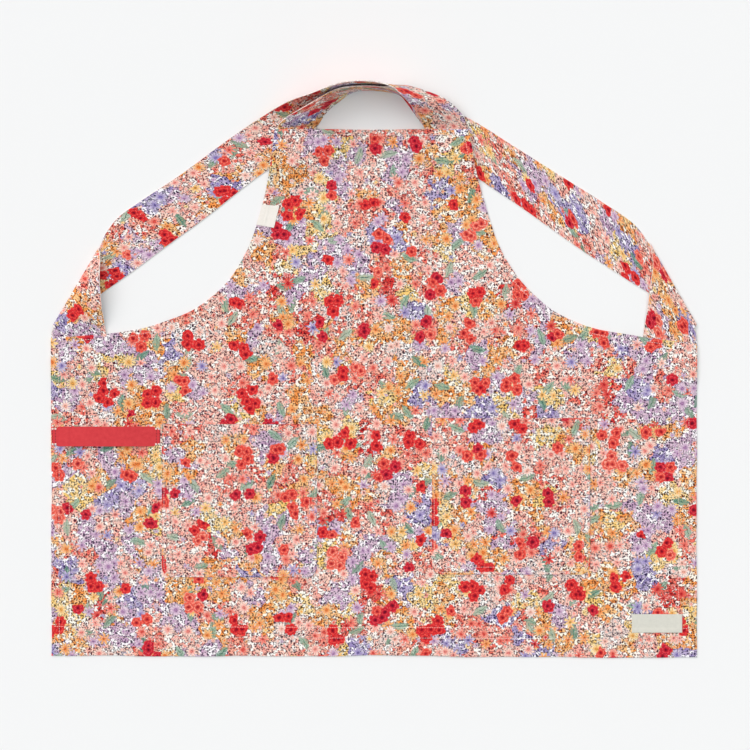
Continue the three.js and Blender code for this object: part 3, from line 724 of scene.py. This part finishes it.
def body_panel():
    rows = [0, 1.0, 4.0, 9.6, STITCH_SIDE[0], 12.6, 24.6, STITCH_SIDE[1], 27.4, 30.5]
    off_l = fill(rows + [HALF + ARMHOLE_LEFT[0][0]], 3.3)
    off_r = fill(rows + [HALF - ARMHOLE_RIGHT[0][0]], 3.3)
    xl, xr = -HALF + off_l, (HALF - off_r)[::-1]
    seam_l = SIDE_TOP_LEFT_Y + (ARMHOLE_LEFT[0][1] - SIDE_TOP_LEFT_Y) * off_l / off_l[-1]
    seam_r = (SIDE_TOP_RIGHT_Y + (ARMHOLE_RIGHT[0][1] - SIDE_TOP_RIGHT_Y) * off_r / off_r[-1])[::-1]
    bib = np.linspace(BIB_LEFT_X, BIB_RIGHT_X, 85)[1:-1]
    arm_r = ARM_R[::-1]
    top = np.vstack([np.stack([xl, seam_l], 1), ARM_L[1:], np.stack([bib, np.full(len(bib), BIB_TOP_Y)], 1),
                     arm_r[:-1], np.stack([xr, seam_r], 1)])
    foot = np.concatenate([xl, np.linspace(ARMHOLE_LEFT[0][0], BIB_LEFT_X, len(ARM_L))[1:], bib,
                           np.linspace(BIB_RIGHT_X, ARMHOLE_RIGHT[0][0], len(arm_r))[:-1], xr])
    low = fill([0, 1.0, 4.5, 25.1, STITCH_BOTTOM[0], 28.1, 40.5, STITCH_BOTTOM[1], 43.5, 48.0], 4.4)
    high = np.array([18.0, 14.0, 10.8, 9.2, 7.6, 6.0, 3.5, 1.2, 0.0])
    y0 = hem_y(foot)[:, None]
    y1 = top[:, 1][:, None]
    mid = np.linspace(0, 1, 89)[1:][None, :]
    y = np.hstack([y0 + low[None, :], (y0 + low[-1]) + (y1 - high[0] - y0 - low[-1]) * mid, y1 - high[None, 1:]])
    x = foot[:, None] + (top[:, 0] - foot)[:, None] * (y - y0) / (y1 - y0)
    edge = to_segments(x, y, TOP_EDGE)
    z = body_base(x, y)
    dx, dy = hem_sway(x, y)
    front = np.stack([x + dx, y + dy, z + body_thick(x, y, edge)], axis=2)
    back = np.stack([x + dx, y + dy, z], axis=2)
    uv = np.stack([x + 600.0, y + 600.0], axis=2)
    ob = cloth("body_panel_cloth", front, back, uv, uv, [PRINT, REVERSE], back_slot=1)
    return piece(ob, "body_panel"), half_area(front)


def strap(name, node, rows, shift, steps=300):
    r = np.array([list(k) + [1.0] * (8 - len(k)) for k in rows])
    t = np.linspace(0, 1, steps)
    T, O = spline(r[:, 0:3], t), spline(r[:, 3:6], t)
    curl, crease = [np.interp(t * (len(r) - 1), np.arange(len(r)), r[:, c])[:, None] for c in (6, 7)]
    s = fill([0, 0.012, 0.035, 0.075, 0.925, 0.965, 0.988, 1.0], 0.048)[None, :]
    mid = np.stack([O[:, 0:1] + (T[:, 0:1] - O[:, 0:1]) * s, O[:, 1:2] + (T[:, 1:2] - O[:, 1:2]) * s,
                    np.maximum(STRAP_THICK / 2, O[:, 2:3] + (T[:, 2:3] - O[:, 2:3]) * np.minimum(1.0, s / crease) ** curl)], axis=2)
    n = np.cross(np.gradient(mid, axis=0), np.gradient(mid, axis=1))
    n /= np.maximum(np.linalg.norm(n, axis=2, keepdims=True), 1e-9)
    def length(edge):
        return np.concatenate([[0], np.cumsum(np.linalg.norm(np.diff(edge, axis=0), axis=1))])[:, None]

    step = np.linalg.norm(np.diff(mid, axis=0), axis=2).mean(axis=1)
    along = np.concatenate([[0], np.cumsum(step)])[:, None]
    width = np.linalg.norm(T - O, axis=1)[:, None]
    long_t, long_o = length(T), length(O)
    inset = np.minimum(s, 1 - s) * width
    # two plies with their seam allowances pressed inside the edges
    half = STRAP_THICK / 2 * (0.90 + 0.10 * (1 - smooth(7.0, 11.0, inset)) - 0.10 * np.exp(-(inset / 1.6) ** 2))
    half = half + 0.05 * np.sin(along / 9.0 + 3.0 * s) * np.sin(along / 23.0)
    front, back = mid + n * half[:, :, None], mid - n * half[:, :, None]
    # the print's own place: each edge keeps its length, so nothing stretches at the folds
    across = (s - 0.5) * (60.0 + 19.0 * smooth(0.15, 0.75, t))[:, None]
    grid = long_o + (long_t - long_o) * s
    uv_f = np.stack([grid + shift[0], across + shift[1]], axis=2)
    uv_b = np.stack([grid + shift[0] + 53.0, shift[1] + 160.0 - across], axis=2)
    # The rims of the straps take the paled edge print, which carries a painted highlight.
    ob = cloth(name, front, back, uv_f, uv_b, [PRINT, PALE_EDGE_AND_HIGHLIGHT], rim_slot=1)
    return piece(ob, node), float(along[-1, 0]), float(width.max()), half_area(mid)


def pocket_shape(p, inset):
    """The sewn U of a pocket, at a distance inside its edge."""
    x0, x1, yb = p["x0"] + inset, p["x1"] - inset, p["y0"] + inset
    r = max(POCKET_CORNER - inset, 0.01)
    a = np.linspace(0, math.pi / 2, 9)
    left = np.stack([x0 + r - r * np.cos(a), yb + r - r * np.sin(a)], 1)
    right = np.stack([x1 - r + r * np.sin(a), yb + r - r * np.cos(a)], 1)
    return np.vstack([[(x0, p["y1"] - 1.2)], left, right, [(x1, p["y1"] - 1.2)]])


POCKET_ROWS = (3.0, 10.6)


def pocket_height(p, x, y, d):
    """Underside of a pocket: flat along its seams, open at its mouth."""
    h = p["y1"] - p["y0"]
    v = (y - p["y0"]) / h
    side = np.minimum(x - p["x0"], p["x1"] - x)
    bow = POCKET_GAPE * 0.9 * smooth(9.0, 74.0, side) ** 0.8 * smooth(0.04, 1.0, v)
    sway = 0.5 * np.sin(x / 26.0 + 0.6) * smooth(0.5, 1.0, v) * smooth(9, 40, side)
    return body_top(x, y) + 0.06 + bow + sway


def pocket_thick(p, x, y, d):
    down = p["y1"] - y
    t = POCKET_THICK + 0.55 * np.maximum(1 - smooth(POCKET_HEM - 1.0, POCKET_HEM + 1.6, down), 0.8 * (1 - smooth(11.6, 13.6, d)))
    pull = groove(down - POCKET_HEM + 3.0)
    for s in POCKET_ROWS:
        pull = np.maximum(pull, groove(d - s))
    return t - 0.34 * pull + 0.07 * np.sin((x + y) / 2.9) * (1 - smooth(10, 18, d))


def pocket(name, node, p, shift):
    w, h = p["x1"] - p["x0"], p["y1"] - p["y0"]
    rim = [0, 0.8, 2.0, 3.0, 4.0, 6.5, 9.6, 10.6, 11.6, 13.6]
    u = fill(rim + [w - v for v in rim[::-1]], 3.0) / w
    rise = fill(rim + [POCKET_CORNER + 2, h - 27.2, h - 25.4, h - 23.6, h - 22.4, h - 21.2, h - 3, h - 1, h], 3.0)
    cut = np.where(rise < POCKET_CORNER, POCKET_CORNER - np.sqrt(np.maximum(POCKET_CORNER ** 2 - (POCKET_CORNER - rise) ** 2, 0)), 0.0)
    half = (w / 2 - cut)[None, :]
    x = (p["x0"] + p["x1"]) / 2 + (2 * u[:, None] - 1) * half
    y = p["y0"] + np.broadcast_to(rise[None, :], x.shape)
    d = to_segments(x, y, pocket_shape(p, 0.0))
    z = pocket_height(p, x, y, d)
    front = np.stack([x, y, z + pocket_thick(p, x, y, d)], axis=2)
    back = np.stack([x, y, z], axis=2)
    uv = np.stack([x + shift[0], y + shift[1]], axis=2)
    ob = cloth(name, front, back, uv, uv, [PRINT, REVERSE], back_slot=1)
    return piece(ob, node), half_area(front)


def pocket_top(p):
    def z(x, y):
        d = to_segments(x, y, pocket_shape(p, 0.0))
        return pocket_height(p, x, y, d) + pocket_thick(p, x, y, d)
    return z


def loop_z(x, y):
    run = np.minimum(x - LOOP["x0"], LOOP["x1"] - x)
    return body_top(x, y) + 0.08 + LOOP["rise"] * 0.86 * smooth(4.0, 56.0, run) ** 0.75


def towel_loop():
    x = LOOP["x0"] + fill([0, 0.6, 2.0, LOOP["run"], LOOP["x1"] - LOOP["x0"] - LOOP["run"], LOOP["x1"] - LOOP["x0"] - 2.0,
                           LOOP["x1"] - LOOP["x0"] - 0.6, LOOP["x1"] - LOOP["x0"]], 1.6)[:, None]
    run = np.minimum(x - LOOP["x0"], LOOP["x1"] - x)
    half = (LOOP["y1"] - LOOP["y0"]) / 2 - LOOP["taper"] / 2 * (1 - smooth(4.0, LOOP["run"] + 0.5, run))
    s = fill([-1, -0.96, -0.9, 0.9, 0.96, 1.0], 0.12)[None, :]
    y = (LOOP["y0"] + LOOP["y1"]) / 2 + half * s
    xx = x + 0 * y
    selvage = 0.10 * np.exp(-((1 - np.abs(s)) / 0.05) ** 2)
    z = loop_z(xx, y) + 0.25 * np.sin(xx / 17.0) * smooth(10, 40, run) * (1 - s ** 2)
    front = np.stack([xx, y, z + LOOP["thick"] + selvage + 0 * xx], axis=2)
    back = np.stack([xx, y, z], axis=2)
    uv = np.stack([xx + 900.0, y + 900.0], axis=2)
    ob = cloth("towel_loop_tape", front, back, uv, uv, [RED_TAPE])
    return piece(ob, "towel_loop"), half_area(front)


def quad_tape(name, node, corners, thick, material, lift_fn, nu, nv):
    a, b, c, d = [np.array(k, float) for k in corners]
    u = fill([0, 0.012, 0.04, 0.96, 0.988, 1], 1.0 / nu)[:, None, None]
    v = fill([0, 0.02, 0.07, 0.93, 0.98, 1], 1.0 / nv)[None, :, None]
    xy = (a + (b - a) * u) * (1 - v) + (d + (c - d) * u) * v
    x, y = xy[:, :, 0], xy[:, :, 1]
    z = body_top(x, y) + 0.10 + lift_fn(u[:, :, 0] + 0 * v[:, :, 0], v[:, :, 0] + 0 * u[:, :, 0])
    front = np.stack([x, y, z + thick], axis=2)
    back = np.stack([x, y, z], axis=2)
    w, h = np.linalg.norm(b - a), np.linalg.norm(d - a)
    uv = np.stack([1200.0 + u[:, :, 0] * w + 0 * v[:, :, 0], 1200.0 + v[:, :, 0] * h + 0 * u[:, :, 0]], axis=2)
    ob = cloth(name, front, back, uv, uv, [material])
    return piece(ob, node), (float(w), float(h)), half_area(front)


def stitches(name, runs, material, length=2.5, pitch=3.35, width=0.66, height=0.62):
    """Sewn rows: each run is a line of points and the height of the cloth there."""
    along = np.array([-0.5, -0.38, 0.0, 0.38, 0.5])
    slim = np.array([0.35, 0.85, 1.0, 0.85, 0.35])
    sink = np.array([-0.22, 0.02, 0.12, 0.02, -0.22])
    ring = np.linspace(0, 2 * math.pi, 7)[:-1]
    all_v, all_uv, rng = [], [], np.random.RandomState(7)
    for line, top, size in runs:
        line = np.asarray(line, float)
        s = np.concatenate([[0], np.cumsum(np.linalg.norm(np.diff(line, axis=0), axis=1))])
        count = max(1, int(s[-1] / (pitch * size)))
        at = (np.arange(count) + 0.5) * s[-1] / count
        pos = at[:, None] + along[None, :] * length * size
        pos = np.clip(pos, 0, s[-1])
        px, py = np.interp(pos, s, line[:, 0]), np.interp(pos, s, line[:, 1])
        tx, ty = px[:, -1] - px[:, 0], py[:, -1] - py[:, 0]
        tl = np.maximum(np.hypot(tx, ty), 1e-6)
        nx, ny = -ty / tl, tx / tl
        jig = rng.uniform(-0.12, 0.12, count)
        px, py = px + (nx * jig)[:, None], py + (ny * jig)[:, None]
        z = top(px, py) + sink[None, :]
        c, w = np.cos(ring), np.sin(ring)
        off = (slim[:, None] * c[None, :]) * width / 2
        v = np.stack([px[:, :, None] + nx[:, None, None] * off[None], py[:, :, None] + ny[:, None, None] * off[None],
                      z[:, :, None] + (slim[:, None] * w[None, :])[None] * height / 2], axis=3)
        all_v.append(v.reshape(-1, 3))
        uvx = pos[:, :, None] + 0 * off[None]
        all_uv.append(np.stack([uvx, 0 * uvx + ring[None, None, :] * 0.3], axis=3).reshape(-1, 2))
    verts, uv = np.vstack(all_v), np.vstack(all_uv)
    total = len(verts) // 30
    one = []
    for i in range(4):
        for k in range(6):
            one.append((i * 6 + k, (i + 1) * 6 + k, (i + 1) * 6 + (k + 1) % 6, i * 6 + (k + 1) % 6))
    one += [(0, 1, 2, 3), (0, 3, 4, 5), (24 + 3, 24 + 2, 24 + 1, 24), (24 + 5, 24 + 4, 24 + 3, 24)]
    faces = (np.array(one)[None] + 30 * np.arange(total)[:, None, None]).reshape(-1, 4)
    ob = mesh_object(name, metres(verts), faces, uv, [material])
    return piece(ob, None)


def inside_edge(points, inset):
    """A line moved sideways to its left."""
    p = np.asarray(points, float)
    t = np.gradient(p, axis=0)
    t /= np.linalg.norm(t, axis=1)[:, None]
    return p + np.stack([t[:, 1], -t[:, 0]], 1) * inset


def line(a, b, n=60):
    return np.linspace(np.array(a, float), np.array(b, float), n)


body, body_area = body_panel()
# The print's offsets on the straps put darker flowers beside the left fold and inside the arch's left end: painted
# shade there, deeper than the lamps give.
strap_l, len_l, wid_l, area_l = strap("strap_left_cloth", "strap_left", STRAP_LEFT, (1760.0, 300.0))
strap_r, len_r, wid_r, area_r = strap("strap_right_cloth", "strap_right", STRAP_RIGHT, (1860.0, 860.0))
pock_l, area_pl = pocket("pocket_left_cloth", "pocket_left", POCKET_LEFT, (2900.0, 700.0))
pock_r, area_pr = pocket("pocket_right_cloth", "pocket_right", POCKET_RIGHT, (2900.0, 1300.0))
loop, area_loop = towel_loop()
tag, tag_flat, area_tag = quad_tape("side_tag_tape", "side_tag", TAG, 0.9, WHITE_TAPE,
                                    lambda u, v: 0.15 + 0.55 * u ** 2 + 0.5 * v ** 3, 24, 24)
label, label_flat, area_label = quad_tape(
    "hem_label_tape", "hem_label", [(LABEL["x0"], LABEL["y0"]), (LABEL["x1"], LABEL["y0"]), (LABEL["x1"], LABEL["y1"]),
                                    (LABEL["x0"], LABEL["y1"])], 0.9, CREAM_TAPE,
    lambda u, v: 0.10 * np.sin(u * 9.0) * np.sin(v * 3.1416) + 0.05, 40, 16)

xl1, xl2 = -HALF + STITCH_SIDE[0], -HALF + STITCH_SIDE[1]
xr1, xr2 = HALF - STITCH_SIDE[0], HALF - STITCH_SIDE[1]
rows_body = [
    (line((xl1, hem_y(xl1) + 3), (xl1, SIDE_TOP_LEFT_Y - 2), 160), body_top, 1.0),
    (line((xl2, hem_y(xl2) + 3), (xl2, SIDE_TOP_LEFT_Y), 160), body_top, 1.0),
    (line((xr1, hem_y(xr1) + 3), (xr1, SIDE_TOP_RIGHT_Y - 2), 160), body_top, 1.0),
    (line((xr2, hem_y(xr2) + 3), (xr2, SIDE_TOP_RIGHT_Y), 160), body_top, 1.0),
    (line((-HALF + 3, HEM_Y_LEFT + STITCH_BOTTOM[0]), (HALF - 3, HEM_Y_RIGHT + STITCH_BOTTOM[0]), 200), body_top, 1.0),
    (line((-HALF + 3, HEM_Y_LEFT + STITCH_BOTTOM[1]), (HALF - 3, HEM_Y_RIGHT + STITCH_BOTTOM[1]), 200), body_top, 1.0),
    (inside_edge(ARM_L, STITCH_EDGE)[1:-2], body_top, 1.0),
    (inside_edge(ARM_R, -STITCH_EDGE)[1:-2], body_top, 1.0),
    (line((BIB_LEFT_X + 5, BIB_TOP_Y - STITCH_EDGE), (BIB_RIGHT_X - 5, BIB_TOP_Y - STITCH_EDGE), 90), body_top, 1.0),
    (line((-HALF + 4, SIDE_TOP_LEFT_Y - 6), (ARMHOLE_LEFT[0][0] - 2, ARMHOLE_LEFT[0][1] - 6)), body_top, 1.0),
    (line((ARMHOLE_RIGHT[0][0] + 2, ARMHOLE_RIGHT[0][1] - 6), (HALF - 4, SIDE_TOP_RIGHT_Y - 6)), body_top, 1.0)]
rows_body = [(worn_line(run), worn_top, size) for run, top, size in rows_body]
seams_body = stitches("body_seam_stitches", rows_body, THREAD)
rows_pocket = []
for p in (POCKET_LEFT, POCKET_RIGHT):
    for s in POCKET_ROWS:
        rows_pocket.append((even(pocket_shape(p, s), 400), pocket_top(p), 1.0))
    yh = p["y1"] - POCKET_HEM + 3.0
    rows_pocket.append((line((p["x0"] + 3, yh), (p["x1"] - 3, yh), 90), pocket_top(p), 1.0))
seams_pocket = stitches("pocket_seam_stitches", rows_pocket, THREAD)


def tape_top(x, y):
    return loop_z(x, y) + LOOP["thick"]


lx0, lx1, ly0, ly1 = LOOP["x0"], LOOP["x1"], LOOP["y0"], LOOP["y1"]
narrow = LOOP["taper"] / 2
ends = stitches("towel_loop_stitches", [
    (line((x, ly0 + narrow + 0.6), (x, ly1 - narrow - 0.6), 20), tape_top, 1.0)
    for x in (lx0 + 1.0, lx0 + 5.4, lx1 - 5.4, lx1 - 1.0)], RED_THREAD, width=0.9, height=0.8)
tacks = stitches("towel_loop_bartacks", [
    (line((x, y + k), (x + 8.2, y + k), 12), tape_top, 1.15)
    for x in (lx0 - 0.6, lx1 - 8.0) for y in (ly0 + narrow - 0.9, ly1 - narrow - 0.5) for k in (0.0, 0.7, 1.4)],
    TACK_THREAD, pitch=2.7, width=0.9, height=0.9)


def label_top(x, y):
    return body_top(x, y) + 0.10 + 0.9 + 0.06


label_sew = stitches("hem_label_stitches", [
    (line((LABEL["x0"] + 2.0, LABEL["y0"] + 1.2), (LABEL["x0"] + 2.0, LABEL["y1"] - 1.2), 12), label_top, 0.9),
    (line((LABEL["x1"] - 2.0, LABEL["y0"] + 1.2), (LABEL["x1"] - 2.0, LABEL["y1"] - 1.2), 12), label_top, 0.9)],
    CREAM_THREAD)

# ------------------------------------------------------------------ stage
scene = bpy.context.scene
scene.view_settings.view_transform = "Standard"
scene.view_settings.look = "None"

floor_mesh = bpy.data.meshes.new("floor")
reach = 60.0
floor_mesh.from_pydata([(-reach, -reach, -0.00005), (reach, -reach, -0.00005), (reach, reach, -0.00005), (-reach, reach, -0.00005)], [], [(0, 1, 2, 3)])
floor = bpy.data.objects.new("floor", floor_mesh)
scene.collection.objects.link(floor)
paper, pnet, psh = surface("pale_paper", 0.95, 0.0)
psh.inputs["Base Color"].default_value = (0.87, 0.87, 0.87, 1.0)
floor_mesh.materials.append(paper)

world = bpy.data.worlds.new("studio")
scene.world = world
world.use_nodes = True
wn = Net(world.node_tree)
world.node_tree.nodes.clear()
way = wn.node("ShaderNodeTexCoord")
_, _, up = wn.split(way.outputs["Generated"])
sky = wn.node("ShaderNodeBackground")
SKY_LOW, SKY_HIGH = (0.94, 0.94, 0.94, 1.0), (0.240, 0.343, 0.365, 1.0)
sky_tone = wn.step(0.06, 0.40, up)
wn.feed(sky.inputs["Color"], wn.mix(sky_tone, SKY_LOW, SKY_HIGH))
sky.inputs["Strength"].default_value = 1.0
world_out = wn.node("ShaderNodeOutputWorld")
wn.feed(world_out.inputs["Surface"], sky.outputs[0])

from mathutils import Vector


def sun(name, energy, angle, way):
    """Soft light from far off, travelling along way, a little warmer than the sky."""
    data = bpy.data.lights.new(name, "SUN")
    data.energy = energy
    data.color = (1.0, 0.888, 0.866)
    data.angle = math.radians(angle)
    ob = bpy.data.objects.new(name, data)
    ob.rotation_euler = Vector(way).to_track_quat("-Z", "Y").to_euler()
    scene.collection.objects.link(ob)


sun("overhead", 2.345, 92.0, (0.18, -0.40, -0.89))
sun("window", 0.592, 30.0, (0.72, -0.40, -0.62))

cam_data = bpy.data.cameras.new("camera")
cam_data.sensor_width = 36.0
cam_data.lens = 36.0 * 3.0 / 1.06275
cam_data.clip_end = 200.0
cam = bpy.data.objects.new("camera", cam_data)
cam.location = (0.00199, -0.00478, 3.0)
scene.collection.objects.link(cam)
scene.camera = cam

bpy.context.view_layer.update()
